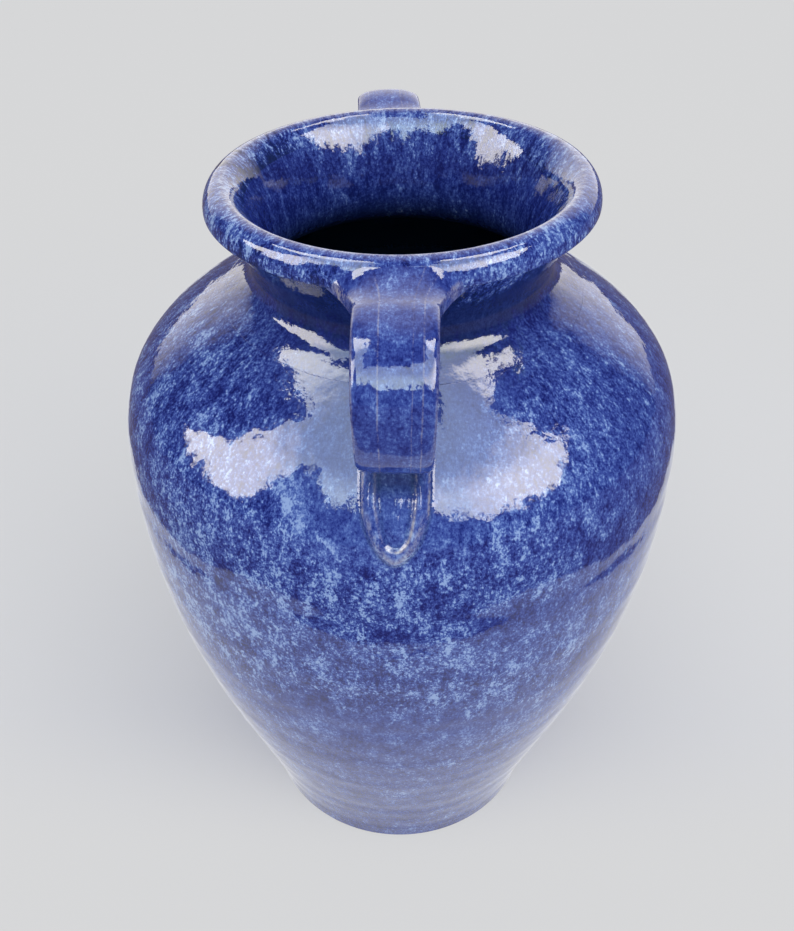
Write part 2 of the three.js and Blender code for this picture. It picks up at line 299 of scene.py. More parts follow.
footLine = [(63.0, 8.0), (63.0, 1.2), (63.4, 0.4), (64.2, 0.0), (71.6, 0.0), (72.6, 0.3), (73.1, 1.1)]
outerFoot = [p for p in outerWall() if 1.4 < p[1] < 7.9]
footTop = [(outerFoot[-1][0] + 0.2, 8.0), (63.0, 8.0)]
footRing = turnedPiece("footRing", footLine + outerFoot + footTop, vessel["steps"], closed=True)
throwUneven(footRing)
print("foot ring turned")

# strap handles: curves of radius and height in millimetres give the path
strap = {
    "root": ((73.0, 350.0), (79.0, 348.2), (85.7, 347.3), (93.0, 347.1)),
    "crown": ((93.0, 347.1), (108.7, 346.7), (121.2, 336.9), (121.2, 328.2)),
    "drop": ((121.2, 328.2), (121.2, 320.5), (120.2, 314.5), (118.8, 309.5)),
    "heel": ((118.8, 309.5), (117.0, 303.0), (112.5, 299.5), (94.5, 287.8)),
    "widthTop": 29.5,
    "widthEnd": 24.8,
    "thickness": 10.0,
    "flare": 20.0,
    "flareLength": 0.2,
    "wingDroop": 9.0,
    "wingFrom": 0.45,
    "wingThin": 0.4,
    "rootFill": 2.4,
    "rootFillLength": 0.19,
    "leftFacet": -0.37,
    "rightFacet": 0.65,
    "facetSlope": 0.13,
    "seam": {"place": 0.06, "half": 0.035, "left": 0.6, "right": 0.2},
    "stations": 96,
    "around": 72,
}


def strapPiece(name, turn, squareness):
    s = strap
    path = bezier(*s["root"], 16)
    for stretch, steps in (("crown", 40), ("drop", 18), ("heel", 26)):
        path += bezier(*s[stretch], steps)[1:]
    clearSelection()
    bpy.ops.mesh.primitive_cylinder_add(vertices=s["around"], radius=1, depth=1, end_fill_type="TRIFAN")
    piece = named(name)
    editMode("EDGE")
    objectMode()
    for edge in piece.data.edges:
        a, b = (piece.data.vertices[i].co for i in edge.vertices)
        edge.select = abs(a.z - b.z) > 0.5
    bpy.ops.object.mode_set(mode="EDIT")
    bpy.ops.mesh.subdivide(number_cuts=s["stations"] - 1)
    objectMode()
    lengths = [0.0]
    for p, q in zip(path, path[1:]):
        lengths.append(lengths[-1] + math.dist(p, q))
    sideways = []
    seams = []
    for vertex in piece.data.vertices:
        share = 0.5 - vertex.co.z
        target = share * lengths[-1]
        k = max(i for i, l in enumerate(lengths[:-1]) if l <= target + 1e-9)
        t = (target - lengths[k]) / (lengths[k + 1] - lengths[k])
        centre = Vector(path[k]).lerp(Vector(path[k + 1]), t)
        ahead = Vector(path[min(k + 2, len(path) - 1)]) - Vector(path[max(k - 1, 0)])
        ahead.normalize()
        x, y = vertex.co.x, vertex.co.y
        if math.hypot(x, y) > 0.5:
            x = math.copysign(abs(x) ** squareness, x)
            y = math.copysign(abs(y) ** squareness, y)
            if y > 0:
                y -= s["facetSlope"] * (max(0, s["leftFacet"] - x) + max(0, x - s["rightFacet"]))
        sideways.append(x)
        seam = max(0, 1 - abs(share - s["seam"]["place"]) / s["seam"]["half"])
        seam *= min(max((abs(x) - 0.92) / 0.07, 0), 1)
        seams.append(seam * s["seam"]["left" if x < 0 else "right"])
        spread = max(0.0, 1 - share / s["flareLength"]) ** 2 * s["flare"]
        width = s["widthTop"] + (s["widthEnd"] - s["widthTop"]) * share ** 2 + spread
        wing = max(0.0, 1 - share / s["flareLength"])
        y *= 1 - s["wingThin"] * wing * abs(x) ** 3
        crown = centre + Vector((-ahead.y, ahead.x)) * (y * s["thickness"] / 2)
        crown.y -= s["wingDroop"] * wing * max(0.0, abs(x) - s["wingFrom"]) ** 2
        if y > 0:
            near = max(0.0, 1 - share / s["rootFillLength"])
            crown.y += s["rootFill"] * near ** 2.5 * (1 - 0.8 * x * x)
        vertex.co = (x * width / 2 * mm, -crown.x * mm, crown.y * mm)
    mark(piece, "sideways", sideways)
    mark(piece, "edgeBreak", seams)
    outwards(piece)
    angle = math.radians(turn)
    for vertex in piece.data.vertices:
        x, y, z = vertex.co
        vertex.co = (x * math.cos(angle) - y * math.sin(angle),
                     x * math.sin(angle) + y * math.cos(angle), z)
    throwUneven(piece)
    return piece


rearTurn = 184.8
frontStrap = strapPiece("frontHandleStrap", 0, 0.3)
rearStrap = strapPiece("rearHandleStrap", rearTurn, 0.84)
print("straps pulled")


# handle ends in millimetres: pressed pads on the shoulder, luting coils under the lip
pad = {
    "startRadius": 103.0,
    "outer": {"half": 12.9, "narrowing": 0.2, "length": 33.6, "taperFrom": 12.5, "taper": 1.65},
    "inner": {"half": 7.0, "narrowing": 0.9, "length": 26.8, "taperFrom": 14.0, "taper": 2.1},
    "breaks": {"left": 0.3, "right": 0.6, "upper": 0.65, "lower": 0.3},
    # glaze pooling at the pad's edge and bed; at the root, under the strap's end, painted shade as well
    "poolsAndShade": {"root": 0.45, "edge": 0.3, "bed": 0.2},
    "skirt": 3.0,
    "rimHeight": 0.4,
    "railHeight": 2.9,
    "railEdge": 4.4,
    "bedHeight": 1.2,
    "bedFall": 1.8,
    "tongueHeight": 2.7,
    "lean": 3.0,
    "filletHeight": 3.5,
    "filletLength": 9.0,
    "tuckedUnder": 8.0,
    "thickness": 0.0025,
    "across": 104,
    "along": 128,
}


def shoulderLine():
    line = [p for p in outerWall() if 240 < p[1] < 300]
    line.reverse()
    lengths = [0.0]
    for p, q in zip(line, line[1:]):
        lengths.append(lengths[-1] + math.dist(p, q))
    return line, lengths


def easeBetween(value, low, high):
    t = min(max((value - low) / (high - low), 0), 1)
    return t * t * (3 - 2 * t)


def outlineDepth(line, across, along):
    # distance in from an outline: sides that close slowly, then a blunt round end
    half = line["half"] - line["narrowing"] * easeBetween(along, 6, 20)
    past = along - line["taperFrom"]
    if past <= 0:
        return half - abs(across)
    n = line["taper"]
    long = line["length"] - line["taperFrom"]
    reach = ((abs(across) / half) ** n + (past / long) ** n) ** (1 / n)
    steep = reach ** (1 - n) * math.hypot(abs(across) ** (n - 1) / half ** n, past ** (n - 1) / long ** n)
    return min((1 - reach) / steep, half)


def padRelief(across, along):
    # height above the shoulder, how much the glaze breaks there, and how dark it turns from glaze pooling
    # and from painted shade under the strap's end
    p = pad
    outer = outlineDepth(p["outer"], across, along)
    if outer < 0:
        t = min(-outer / p["skirt"], 1)
        height = p["rimHeight"] * (1 - t) ** 2 - 0.35 * t
        return height, 0.0, p["poolsAndShade"]["edge"] * math.exp(-(outer / 0.7) ** 2)
    rise = math.sin(min(outer / p["railEdge"], 1) * math.pi / 2) ** 0.8
    rail = p["rimHeight"] + (p["railHeight"] - p["rimHeight"]) * rise
    inner = outlineDepth(p["inner"], across, along)
    fall = easeBetween(inner, -0.6 * p["bedFall"], p["bedFall"])
    middle = easeBetween(inner, 0, p["inner"]["half"])
    bed = p["bedHeight"] + (p["tongueHeight"] - p["bedHeight"]) * middle
    height = rail * (1 - fall) + bed * fall
    height += p["lean"] * min(max(1 - along / p["outer"]["length"], 0), 1) * rise
    near = min(max(along / p["filletLength"], 0), 1)
    height += p["filletHeight"] * (1 - near) ** 2 * (1 - easeBetween(abs(across), 5, 11))
    upper = 1 - easeBetween(along, 12, 19)
    b = p["breaks"]
    breaks = (b["left" if across < 0 else "right"] * math.exp(-((inner + 0.2) / 0.5) ** 2)
              + b["upper"] * upper * math.exp(-((outer - 0.9) / 0.5) ** 2)
              + b["lower"] * (1 - upper) * math.exp(-((outer - 2.4) / 1.5) ** 2))
    # painted shade under the overhanging strap's end, laid in with the glaze pooling there
    root = (1 - easeBetween(along, 3.5, 10.0)) * (1 - easeBetween(abs(across), 6, 12.5))
    pooledAndShaded = (p["poolsAndShade"]["root"] * root + p["poolsAndShade"]["edge"] * math.exp(-(outer / 0.7) ** 2)
              + p["poolsAndShade"]["bed"] * math.exp(-((inner - 1.2) / 0.8) ** 2))
    return height, min(breaks, 1.0), min(pooledAndShaded, 0.9)


def padPiece(name, turn):
    p = pad
    clearSelection()
    bpy.ops.mesh.primitive_grid_add(x_subdivisions=p["across"], y_subdivisions=p["along"], size=1)
    piece = named(name)
    line, lengths = shoulderLine()
    begin = min(range(len(line)), key=lambda i: abs(line[i][0] - p["startRadius"]))
    reach = p["outer"]["half"] + p["skirt"]
    length = p["outer"]["length"]
    edges, poolsAndShade = [], []
    for vertex in piece.data.vertices:
        across = vertex.co.x * 2 * reach
        along = (0.5 - vertex.co.y) * (length + p["tuckedUnder"] + p["skirt"]) - p["tuckedUnder"]
        height, edge, pooledAndShaded = padRelief(across, along)
        edges.append(edge)
        poolsAndShade.append(pooledAndShaded)
        target = lengths[begin] + along
        k = max(i for i, l in enumerate(lengths[:-1]) if l <= target)
        t = (target - lengths[k]) / (lengths[k + 1] - lengths[k])
        r = line[k][0] + (line[k + 1][0] - line[k][0]) * t
        z = line[k][1] + (line[k + 1][1] - line[k][1]) * t
        slope = Vector((line[k + 1][0] - line[k][0], line[k + 1][1] - line[k][1])).normalized()
        r += -slope.y * height
        z += slope.x * height
        angle = math.radians(turn - 90) + across / (line[k][0] + 2)
        vertex.co = (r * math.cos(angle) * mm, r * math.sin(angle) * mm, z * mm)
    mark(piece, "edgeBreak", edges)
    mark(piece, "pooledAndShaded", poolsAndShade)
    throwUneven(piece)
    pick(piece)
    editMode()
    bpy.ops.mesh.select_all(action="SELECT")
    bpy.ops.mesh.normals_make_consistent(inside=False)
    objectMode()
    top = max(piece.data.polygons, key=lambda f: f.center.z)
    if top.normal.z < 0:
        pick(piece)
        editMode()
        bpy.ops.mesh.select_all(action="SELECT")
        bpy.ops.mesh.flip_normals()
        objectMode()
    thick = piece.modifiers.new("clayBehind", "SOLIDIFY")
    thick.thickness = p["thickness"]
    thick.offset = -1
    applyModifiers(piece)
    return piece


coil = {
    "radius": 71.5,
    "height": 339.5,
    "thick": 4.3,
    "tall": 6.0,
    "spread": 17.5,
    "tipIn": 2.6,
    "tipRise": 3.0,
    "stations": 28,
    "around": 20,
}


def coilPiece(name, turn):
    c = coil
    clearSelection()
    bpy.ops.mesh.primitive_cylinder_add(vertices=c["around"], radius=1, depth=1, end_fill_type="TRIFAN")
    piece = named(name)
    for edge in piece.data.edges:
        a, b = (piece.data.vertices[i].co for i in edge.vertices)
        edge.select = abs(a.z - b.z) > 0.5
    bpy.ops.object.mode_set(mode="EDIT")
    bpy.ops.mesh.select_mode(type="EDGE")
    bpy.ops.mesh.subdivide(number_cuts=c["stations"] - 1)
    objectMode()
    for vertex in piece.data.vertices:
        share = vertex.co.z * 2
        taper = math.sqrt(max(0.02, 1 - share * share))
        angle = math.radians(turn - 90 + share * c["spread"])
        r = c["radius"] - c["tipIn"] * (1 - taper) + vertex.co.x * c["thick"] * taper
        z = c["height"] + c["tipRise"] * (1 - taper) + vertex.co.y * c["tall"] * taper
        vertex.co = (r * math.cos(angle) * mm, r * math.sin(angle) * mm, z * mm)
    outwards(piece)
    throwUneven(piece)
    return piece


frontPad = padPiece("frontHandlePad", 0)
rearPad = padPiece("rearHandlePad", rearTurn)
frontCoil = coilPiece("frontLutingCoil", 0)
rearCoil = coilPiece("rearLutingCoil", rearTurn)
print("pads pressed and coils laid")


# helpers for shader nodes
def newMaterial(name):
    material = bpy.data.materials.new(name)
    material.use_nodes = True
    tree = material.node_tree
    for node in list(tree.nodes):
        tree.nodes.remove(node)
    return material, tree


def add(tree, kind, **values):
    node = tree.nodes.new(kind)
    for key, value in values.items():
        if key.startswith("in_"):
            node.inputs[key[3:].replace("_", " ")].default_value = value
        else:
            setattr(node, key, value)
    return node


def math2(tree, operation, a, b=None, c=None, clamp=False):
    node = tree.nodes.new("ShaderNodeMath")
    node.operation = operation
    node.use_clamp = clamp
    for socket, value in zip(node.inputs, (a, b, c)):
        if value is None:
            continue
        if isinstance(value, (int, float)):
            socket.default_value = value
        else:
            tree.links.new(value, socket)
    return node.outputs[0]


def ramp(tree, source, stops):
    node = tree.nodes.new("ShaderNodeValToRGB")
    elements = node.color_ramp.elements
    while len(elements) > 1:
        elements.remove(elements[-1])
    elements[0].position, elements[0].color = stops[0][0], stops[0][1]
    for place, colour in stops[1:]:
        element = elements.new(place)
        element.color = colour
    tree.links.new(source, node.inputs[0])
    return node.outputs[0]


def blendColour(tree, factor, a, b):
    node = tree.nodes.new("ShaderNodeMix")
    node.data_type = "RGBA"
    for socket, value in ((node.inputs[0], factor), (node.inputs[6], a), (node.inputs[7], b)):
        if isinstance(value, (int, float, tuple)):
            socket.default_value = value
        else:
            tree.links.new(value, socket)
    return node.outputs[2]


def grey(v):
    return (v, v, v, 1)


def eased(tree, value, low, high, start, end):
    node = add(tree, "ShaderNodeMapRange", interpolation_type="SMOOTHSTEP")
    tree.links.new(value, node.inputs["Value"])
    for key, number in (("From Min", low), ("From Max", high), ("To Min", start), ("To Max", end)):
        node.inputs[key].default_value = number
    return node.outputs[0]


glaze = {
    # paler and darker bands that the brush left, as shares of the height; the dark stops round the neck,
    # from 0.865 to 0.955, are painted shade under the lip
    "bands": [
        (0.0, 0.46), (0.20, 0.46), (0.27, 0.54), (0.31, 0.45), (0.36, 0.52), (0.41, 0.58), (0.46, 0.44),
        (0.505, 0.47), (0.53, 0.64), (0.58, 0.66), (0.62, 0.52), (0.66, 0.50), (0.71, 0.64), (0.77, 0.58),
        (0.84, 0.54), (0.865, 0.3), (0.885, 0.0), (0.955, 0.0), (0.98, 0.54), (1.0, 0.58)],
    "grainSize": 120.0,
    "grainContrast": 4.0,
    "flakeSize": 230.0,
    "flakeEdge": 0.555,
    "flakeContrast": 0.5,
    "speckleSize": 850.0,
    "speckleContrast": 1.3,
    "cloudSize": 22.0,
    "cloudContrast": 0.25,
    "runSize": 60.0,
    "runContrast": 5.0,
    "bandContrast": 0.6,
    "calming": 0.62,
    "streakLift": 0.22,
    "dripLift": 0.22,
    # painted shade towards the right side
    "rightSideShade": 0.45,
    # painted shade round the neck, under the lip
    "neckShade": 0.45,
    "blues": [
        (0.0, (0.007, 0.012, 0.125)), (0.20, (0.014, 0.027, 0.200)), (0.40, (0.029, 0.052, 0.280)),
        (0.55, (0.046, 0.083, 0.350)), (0.70, (0.080, 0.143, 0.455)), (0.85, (0.155, 0.250, 0.590)),
        (1.0, (0.300, 0.430, 0.740))],
    "clayThrough": (0.56, 0.49, 0.40, 1),
    # the dark teal of thick, pooling glaze, also laid on as painted shade
    "deepGlazeAndShadeColour": (0.006, 0.022, 0.040, 1),
}

# pale drips of glaze: turn and height in degrees and millimetres at the top and the end, half widths
drips = [
    ((-20.5, 285, 6.5), (-17.3, 259, 0.9)),
    ((-13.8, 249, 1.0), (-16.3, 226, 0.7)),
    ((18.0, 271, 0.9), (18.5, 254, 0.5)),
    ((-63.5, 312, 2.2), (-57.0, 303, 1.2)),
    ((-51.0, 222, 1.6), (-40.0, 178, 1.0)),
    ((-11.6, 266, 1.2), (-9.8, 256, 0.6)),
    ((38.0, 197, 1.4), (34.8, 174, 0.7)),
]


# the broken cobalt glaze: colour and surface height from one pattern
def mottleGroup():
    g = glaze
    group = bpy.data.node_groups.new("cobaltMottle", "ShaderNodeTree")
    group.interface.new_socket("Vector", in_out="INPUT", socket_type="NodeSocketVector")
    for name in ("Lightness", "Calm", "Banded", "Break", "Depth"):
        group.interface.new_socket(name, in_out="INPUT", socket_type="NodeSocketFloat")
    group.interface.new_socket("Color", in_out="OUTPUT", socket_type="NodeSocketColor")
    group.interface.new_socket("Height", in_out="OUTPUT", socket_type="NodeSocketFloat")
    tree = group
    link = tree.links.new
    start = add(tree, "NodeGroupInput")
    end = add(tree, "NodeGroupOutput")
    vector = start.outputs["Vector"]

    def noise(source, size, detail, rough):
        node = add(tree, "ShaderNodeTexNoise", in_Scale=size, in_Detail=detail, in_Roughness=rough)
        link(source, node.inputs["Vector"])
        return node.outputs[0]

    axes = add(tree, "ShaderNodeSeparateXYZ")
    link(vector, axes.inputs[0])
    flat = add(tree, "ShaderNodeCombineXYZ")
    link(axes.outputs[0], flat.inputs[0])
    link(axes.outputs[1], flat.inputs[1])
    aimed = add(tree, "ShaderNodeVectorMath", operation="NORMALIZE")
    link(flat.outputs[0], aimed.inputs[0])

    # stretches a pattern along the fall of the surface
    def falling(share, ring):
        ringed = add(tree, "ShaderNodeVectorMath", operation="SCALE")
        ringed.inputs["Scale"].default_value = ring
        link(aimed.outputs[0], ringed.inputs[0])
        node = add(tree, "ShaderNodeVectorMath", operation="MULTIPLY_ADD")
        link(vector, node.inputs[0])
        node.inputs[1].default_value = share
        link(ringed.outputs[0], node.inputs[2])
        return node.outputs[0]

    grain = noise(falling((0.55, 0.55, 0.55), 0.045), g["grainSize"], 5.0, 1.0)
    flakes = noise(falling((0.7, 0.7, 0.7), 0.03), g["flakeSize"], 3.0, 0.8)
    speckle = noise(vector, g["speckleSize"], 1.0, 0.6)
    cloud = noise(falling((0.7, 0.7, 0.7), 0.03), g["cloudSize"], 3.0, 0.6)
    run = noise(falling((0.12, 0.12, 0.2), 0.1), g["runSize"], 2.0, 0.5)
    wobble = math2(tree, "MULTIPLY_ADD", cloud, 0.045, axes.outputs[2])
    wobble = math2(tree, "MULTIPLY_ADD", grain, 0.06, wobble)
    level = math2(tree, "DIVIDE", math2(tree, "SUBTRACT", wobble, 0.0525), vessel["height"] * mm)
    band = ramp(tree, level, [(share, grey(v)) for share, v in g["bands"]])
    calm = ramp(tree, level, [(0.0, grey(0.6)), (0.44, grey(0.6)), (0.51, grey(0.0))])
    calm = math2(tree, "MAXIMUM", calm, math2(tree, "MULTIPLY", axes.outputs[0], 5.0))
    shoulder = ramp(tree, level, [
        (0.72, grey(0.0)), (0.775, grey(0.95)), (0.86, grey(0.95)), (0.9, grey(0.4))])
    for side in (30.0, -30.0):
        shoulder = math2(tree, "MULTIPLY", shoulder,
                         math2(tree, "MULTIPLY_ADD", axes.outputs[0], side, 1.75, clamp=True))
    calm = math2(tree, "MAXIMUM", calm, shoulder)
    # painted shade: the colour darkens round the neck, outside, under the lip
    neck = ramp(tree, level, [
        (0.868, grey(0.0)), (0.888, grey(1.0)), (0.948, grey(1.0)), (0.972, grey(0.0))])
    outside = math2(tree, "MULTIPLY_ADD", start.outputs["Banded"], 2.5, -1.5, clamp=True)
    neck = math2(tree, "MULTIPLY", neck, outside)
    calm = math2(tree, "MAXIMUM", calm, neck)
    calm = math2(tree, "MAXIMUM", calm, start.outputs["Calm"], clamp=True)
    strength = math2(tree, "MULTIPLY_ADD", calm, -g["calming"], 1.0)
    fine = math2(tree, "MULTIPLY_ADD", grain, g["grainContrast"], -0.5 * g["grainContrast"])
    fine = math2(tree, "MULTIPLY_ADD", speckle, g["speckleContrast"],
                 math2(tree, "SUBTRACT", fine, 0.5 * g["speckleContrast"]))
    flake = math2(tree, "MULTIPLY_ADD", flakes, 9.0, -9.0 * g["flakeEdge"], clamp=True)
    flake = math2(tree, "MULTIPLY", flake, math2(tree, "MULTIPLY_ADD", cloud, 5.0, -1.9, clamp=True))
    fine = math2(tree, "MULTIPLY_ADD", flake, g["flakeContrast"], fine)
    fine = math2(tree, "MULTIPLY", fine, strength)
    total = math2(tree, "MULTIPLY_ADD", cloud, g["cloudContrast"], fine)
    banded = math2(tree, "MULTIPLY_ADD", band, g["bandContrast"], -0.5 * g["bandContrast"])
    total = math2(tree, "MULTIPLY_ADD", banded, start.outputs["Banded"], total)
    total = math2(tree, "SUBTRACT", total, 0.5 * g["cloudContrast"] - 0.47)
    streak = math2(tree, "MULTIPLY_ADD", run, g["runContrast"], -0.64 * g["runContrast"], clamp=True)
    total = math2(tree, "MULTIPLY_ADD", streak, g["streakLift"], total)
    turned = math2(tree, "DEGREES", math2(tree, "ARCTAN2", axes.outputs[0],
                                          math2(tree, "MULTIPLY", axes.outputs[1], -1.0)))
    turned = math2(tree, "ADD", turned, math2(tree, "MULTIPLY_ADD", flakes, 9.0, -4.5))
    for (turn0, high0, wide0), (turn1, high1, wide1) in drips:
        drop = high0 - high1
        fall = math2(tree, "MULTIPLY_ADD", axes.outputs[2], -1000 / drop, high0 / drop)
        middle = math2(tree, "MULTIPLY_ADD", fall, turn1 - turn0, turn0)
        wide = math2(tree, "MULTIPLY_ADD", fall, wide1 - wide0, wide0)
        off = math2(tree, "ABSOLUTE", math2(tree, "SUBTRACT", turned, middle))
        off = math2(tree, "DIVIDE", off, wide)
        body = math2(tree, "MULTIPLY_ADD", off, -2.0, 2.0, clamp=True)
        ends = math2(tree, "MULTIPLY", math2(tree, "MULTIPLY", fall, 5.0, clamp=True),
                     math2(tree, "MULTIPLY_ADD", fall, -8.0, 8.0, clamp=True))
        total = math2(tree, "MULTIPLY_ADD", math2(tree, "MULTIPLY", body, ends), g["dripLift"], total)
    # painted shade: the colour darkens towards the right side
    darker = math2(tree, "MULTIPLY_ADD", axes.outputs[0], 6.0, -0.42, clamp=True)
    total = math2(tree, "MULTIPLY_ADD", darker, -g["rightSideShade"], total)
    total = math2(tree, "ADD", total, start.outputs["Lightness"])
    colour = ramp(tree, total, [(share, (*blue, 1)) for share, blue in g["blues"]])
    broken = math2(tree, "MULTIPLY", start.outputs["Break"],
                   math2(tree, "MULTIPLY_ADD", grain, 8.0, -3.4, clamp=True), clamp=True)
    colour = blendColour(tree, broken, colour, g["clayThrough"])
    # towards the dark teal: glaze pooling on the pads, painted shade under the strap's end, further inside
    # the neck and round its outside
    darkened = math2(tree, "MAXIMUM", start.outputs["Depth"], math2(tree, "MULTIPLY", neck, g["neckShade"]))
    colour = blendColour(tree, darkened, colour, g["deepGlazeAndShadeColour"])
    link(colour, end.inputs["Color"])
    ripple = noise(vector, 300.0, 2.0, 0.5)
    dimple = noise(vector, 105.0, 1.0, 0.5)
    height = math2(tree, "MULTIPLY", ripple, 0.075)
    height = math2(tree, "MULTIPLY_ADD", dimple, 0.17, height)
    height = math2(tree, "MULTIPLY_ADD", cloud, 0.55, height)
    link(height, end.inputs["Height"])
    return group


cobaltMottle = mottleGroup()


def glazeMaterial(name, lightness, calm=0.0, banded=1.0, inside=False, lines=()):
    material, tree = newMaterial(name)
    link = tree.links.new
    out = add(tree, "ShaderNodeOutputMaterial")
    shader = add(tree, "ShaderNodeBsdfPrincipled", in_Roughness=0.05, in_IOR=1.54)
    place = add(tree, "ShaderNodeTexCoord")
    mottle = add(tree, "ShaderNodeGroup", node_tree=cobaltMottle)
    mottle.inputs["Lightness"].default_value = lightness
    mottle.inputs["Calm"].default_value = calm
    mottle.inputs["Banded"].default_value = banded
    link(place.outputs["Object"], mottle.inputs["Vector"])
    edge = add(tree, "ShaderNodeAttribute", attribute_name="edgeBreak")
    breaks = edge.outputs["Fac"]
    if lines:
        sideways = add(tree, "ShaderNodeAttribute", attribute_name="sideways")
        waver = add(tree, "ShaderNodeTexNoise", in_Scale=120.0, in_Detail=3.0)
        link(place.outputs["Object"], waver.inputs["Vector"])
        wavy = math2(tree, "MULTIPLY_ADD", waver.outputs[0], 0.05, sideways.outputs["Fac"])
        for middle, width, strength in lines:
            off = math2(tree, "ABSOLUTE", math2(tree, "SUBTRACT", wavy, middle + 0.025))
            line = math2(tree, "MULTIPLY_ADD", off, -1 / width, 1.0, clamp=True)
            breaks = math2(tree, "MULTIPLY_ADD", line, strength, breaks, clamp=True)
    link(breaks, mottle.inputs["Break"])
    if not inside:
        # glaze pooling on the pads, with painted shade under the strap's end
        pool = add(tree, "ShaderNodeAttribute", attribute_name="pooledAndShaded")
        link(pool.outputs["Fac"], mottle.inputs["Depth"])
    else:
        axes = add(tree, "ShaderNodeSeparateXYZ")
        link(place.outputs["Object"], axes.inputs[0])
        # further into the neck the inside turns dark teal: partly the glaze's own tone, partly painted
        # shade
        link(eased(tree, axes.outputs[2], 0.336, 0.285, 0.0, 0.95), mottle.inputs["Depth"])
    bump = add(tree, "ShaderNodeBump", in_Strength=1.0, in_Distance=0.001)
    link(mottle.outputs["Height"], bump.inputs["Height"])
    link(mottle.outputs["Color"], shader.inputs["Base Color"])
    link(bump.outputs[0], shader.inputs["Normal"])
    link(shader.outputs[0], out.inputs[0])
    return material


def bareClayMaterial():
    material, tree = newMaterial("bareClay")
    link = tree.links.new
    out = add(tree, "ShaderNodeOutputMaterial")
    shader = add(tree, "ShaderNodeBsdfPrincipled", in_Roughness=0.85)
    place = add(tree, "ShaderNodeTexCoord")
    grit = add(tree, "ShaderNodeTexNoise", in_Scale=900.0, in_Detail=5.0, in_Roughness=0.7)
    link(place.outputs["Object"], grit.inputs["Vector"])
    clay = ramp(tree, grit.outputs[0], [(0.3, (0.36, 0.27, 0.19, 1)), (0.6, (0.60, 0.50, 0.38, 1))])
    link(clay, shader.inputs["Base Color"])
    bump = add(tree, "ShaderNodeBump", in_Strength=1.0, in_Distance=0.00015)
    link(grit.outputs[0], bump.inputs["Height"])
    link(bump.outputs[0], shader.inputs["Normal"])
    link(shader.outputs[0], out.inputs[0])
    return material


bodyGlaze = glazeMaterial("cobaltGlaze", 0.0)
insideGlaze = glazeMaterial("insideGlaze", -0.08, calm=0.5, banded=0.4, inside=True)
handleGlaze = glazeMaterial("handleGlaze", 0.10, calm=0.2, banded=0.0)
strapLines = ((strap["leftFacet"], 0.03, 0.30), (0.41, 0.02, 0.2), (strap["rightFacet"], 0.03, 0.28),
              (-0.97, 0.05, 0.35), (0.97, 0.05, 0.25))
strapGlaze = glazeMaterial("strapGlaze", 0.0, calm=0.75, banded=0.0, lines=strapLines)
bareClay = bareClayMaterial()


# which faces wear which glaze, heights in metres
glazeLimits = {
    "insideFrom": 0.0142,
    "floorBetween": (0.0135, 0.03),
    "bareBelow": 0.0075,
    "ringBareBelow": 0.0078,
    "crestFrom": 0.35,
    "crestBreak": 0.28,
}


def dress(piece, materials, nodes, chooser=None):
    smooth(piece)
    piece.data.materials.clear()
    for material in materials:
        piece.data.materials.append(material)
    if chooser:
        for face in piece.data.polygons:
            face.material_index = chooser(face)
    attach(piece, "root")
    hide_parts(*nodes)


def insideSecond(face):
    x, y, z = face.center
    low, high = glazeLimits["floorBetween"]
    facesIn = face.normal.x * x + face.normal.y * y < 0 and z > glazeLimits["insideFrom"]
    return 1 if facesIn or (face.normal.z > 0.9 and low < z < high) else 0


def bareThird(face):
    bare = face.normal.z < -0.9 and face.center.z < glazeLimits["bareBelow"]
    return 2 if bare else insideSecond(face)


# the glaze runs thin over the crest of the lip
def crestBreak(piece):
    values = []
    for vertex in piece.data.vertices:
        x, y, z = vertex.co
        off = math.hypot(x, y) * 1000 - vessel["lipCrest"] + 0.6
        thin = glazeLimits["crestBreak"] * math.exp(-(off / 1.5) ** 2)
        values.append(thin if z > glazeLimits["crestFrom"] else 0.0)
    mark(piece, "edgeBreak", values)


def clayBelow(face):
    return 1 if face.normal.z < -0.75 and face.center.z < glazeLimits["ringBareBelow"] else 0


dress(footRing, (bodyGlaze, bareClay), ("foot_ring",), clayBelow)
dress(lowerBody, (bodyGlaze, insideGlaze, bareClay), ("lower_body",), bareThird)
dress(upperBody, (bodyGlaze, insideGlaze), ("upper_body",), insideSecond)
dress(neckCollar, (bodyGlaze, insideGlaze), ("neck_collar",), insideSecond)
crestBreak(rimLip)
dress(rimLip, (bodyGlaze,), ("rim_lip",))
rimLip.visible_glossy = False  # its own mirror image would cut the shoulder's highlights in two
dress(frontStrap, (strapGlaze,), ("front_handle_strap",))
dress(rearStrap, (strapGlaze,), ("rear_handle_strap",))
dress(frontPad, (handleGlaze,), ("front_handle_pad",))
dress(rearPad, (handleGlaze,), ("rear_handle_pad",))
dress(frontCoil, (handleGlaze,), ("front_luting_coil",))
dress(rearCoil, (handleGlaze,), ("rear_luting_coil",))
print("glaze applied")

# floor, light and camera: lengths in metres
room = {
    "floorSize": 14.0,
    "floorColour": (0.73, 0.735, 0.745, 1),
    "floorSeen": (0.68, 0.684, 0.692, 1),
    "evenMirrored": 0.85,
    "mirroredLift": 0.25,
    "evenFront": 0.9,
    "evenBehind": 0.15,
    "shadowFront": (0.02, -0.09),
    "shadowReach": (0.3, 0.9),
    "sheetSide": 0.325,
    "sheetFront": 0.28,
    "sheetSoft": 0.006,
    "sheetCorner": 0.2,
    "fill": 0.78,
    "darkGloss": 0.07,
    "darkFloor": (0.20, 0.17, 0.19, 1),
}
clearSelection()
bpy.ops.mesh.primitive_plane_add(size=room["floorSize"], location=(0, 0, -0.0002))
floor = bpy.context.object
floor.name = "studioFloor"
floorMaterial, floorTree = newMaterial("paleFloor")
floorShader = add(floorTree, "ShaderNodeBsdfPrincipled", in_Roughness=0.8)
floorShader.inputs["Specular IOR Level"].default_value = 0.0
floorShader.inputs["Base Color"].default_value = room["floorColour"]
